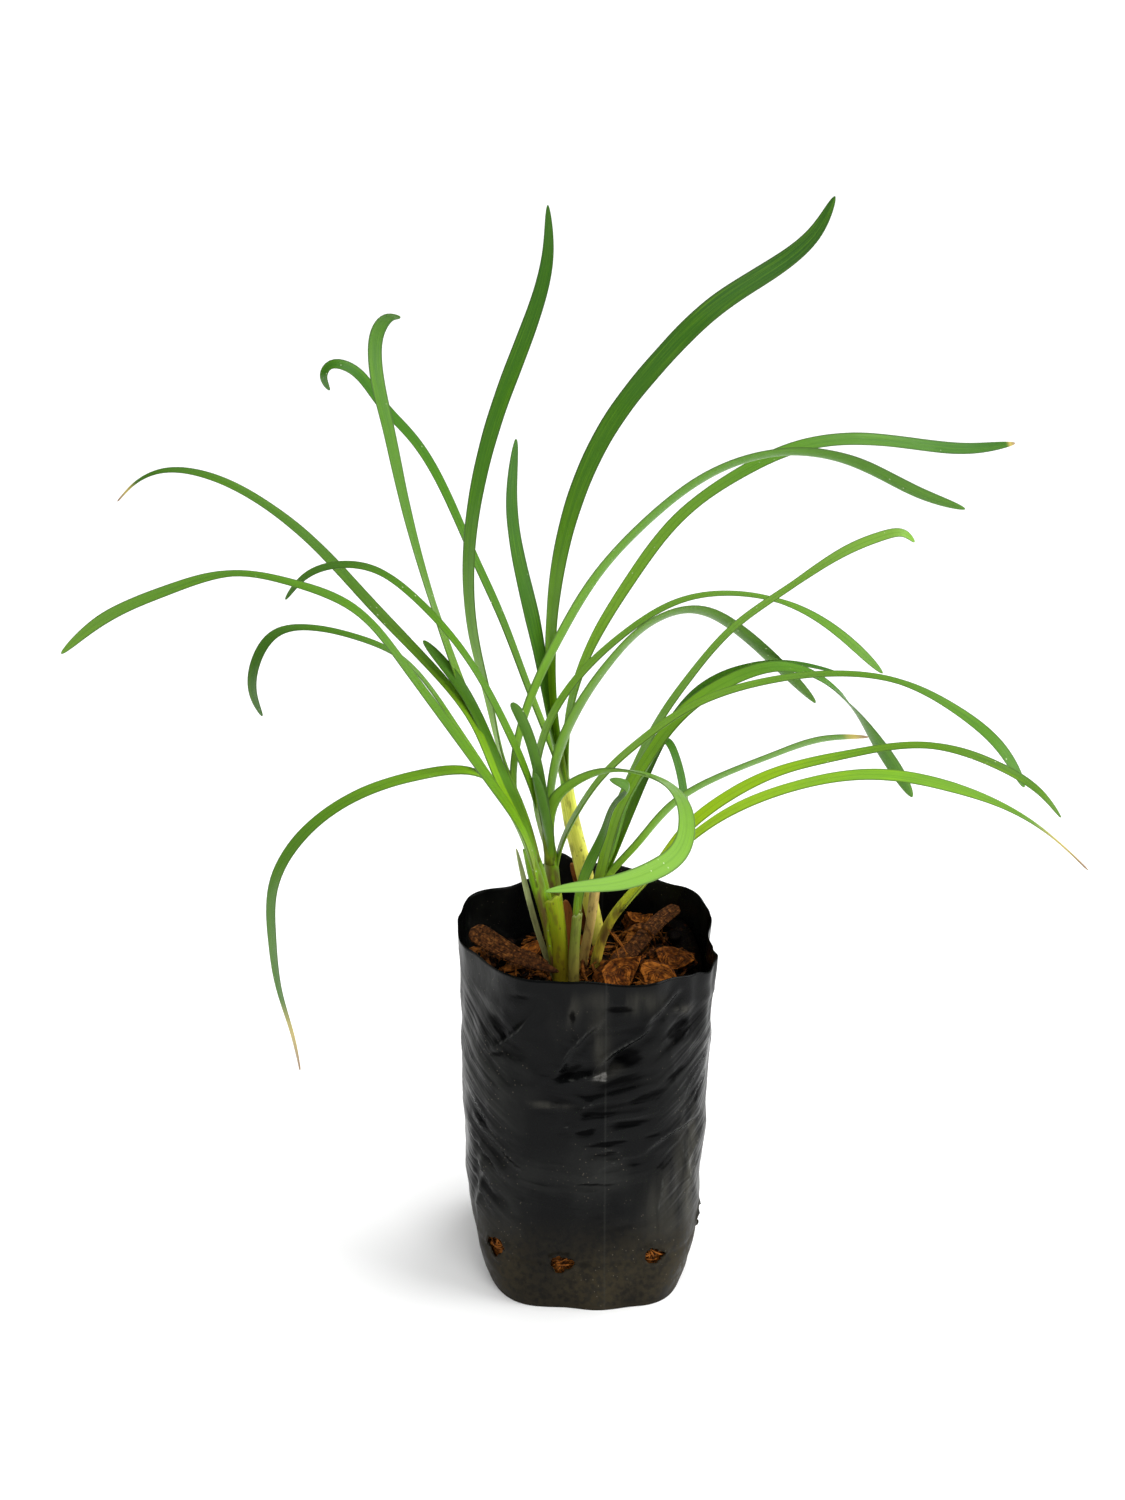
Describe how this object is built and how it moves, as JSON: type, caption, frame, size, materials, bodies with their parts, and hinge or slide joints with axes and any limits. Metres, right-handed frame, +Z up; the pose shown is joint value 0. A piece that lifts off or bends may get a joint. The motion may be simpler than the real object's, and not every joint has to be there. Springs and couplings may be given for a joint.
{
  "type": "potted society garlic",
  "caption": "Clump of long arching strap leaves on slim sheathed stems, standing in coarse bark mix in a soft black grow bag with drain holes round its foot.",
  "frame": {"origin": "middle of the bag's flat foot, on the surface it stands on", "axes": "+Z up out of the bag, +X to the right and +Y away from the viewer of the picture"},
  "size_m": [0.3515, 0.2334, 0.4101],
  "materials": {
    "black_film": "semi-gloss creased film",
    "bark_mix": "rough damp bark and coir",
    "bark": "rough",
    "husk": "dry fibrous",
    "dry_sheath": "dry papery",
    "fresh_leaf": "satin, finely veined",
    "deep_leaf": "satin, finely veined",
    "yellow_leaf": "satin, finely veined",
    "pale_sheath": "satin",
    "grey_sheath": "dull papery",
    "yellow_sheath": "satin, speckled",
    "tan_sheath": "dull papery"
  },
  "bodies": {
    "root": {"grow_bag": "black_film", "potting_mix": "bark_mix", "shoot_front": "fresh_leaf", "shoot_slim": "deep_leaf", "shoot_centre": "fresh_leaf", "shoot_rear": "deep_leaf", "shoot_tan": "deep_leaf", "shoot_yellow": "yellow_leaf", "shoot_small": "yellow_leaf", "sheath_front": "pale_sheath", "sheath_outer": "grey_sheath", "sheath_rear": "yellow_sheath", "sheath_small": "pale_sheath", "sheath_tan": "tan_sheath", "dry_sheath_middle": "dry_sheath", "dry_sheath_rear": "dry_sheath", "husk_strip_left": "husk", "husk_strip_right": "husk", "bark_chip_a": "bark", "bark_chip_b": "bark", "bark_chip_c": "bark", "bark_chip_d": "bark", "bark_chip_e": "bark", "bark_chip_f": "bark"}
  },
  "joints": []
}
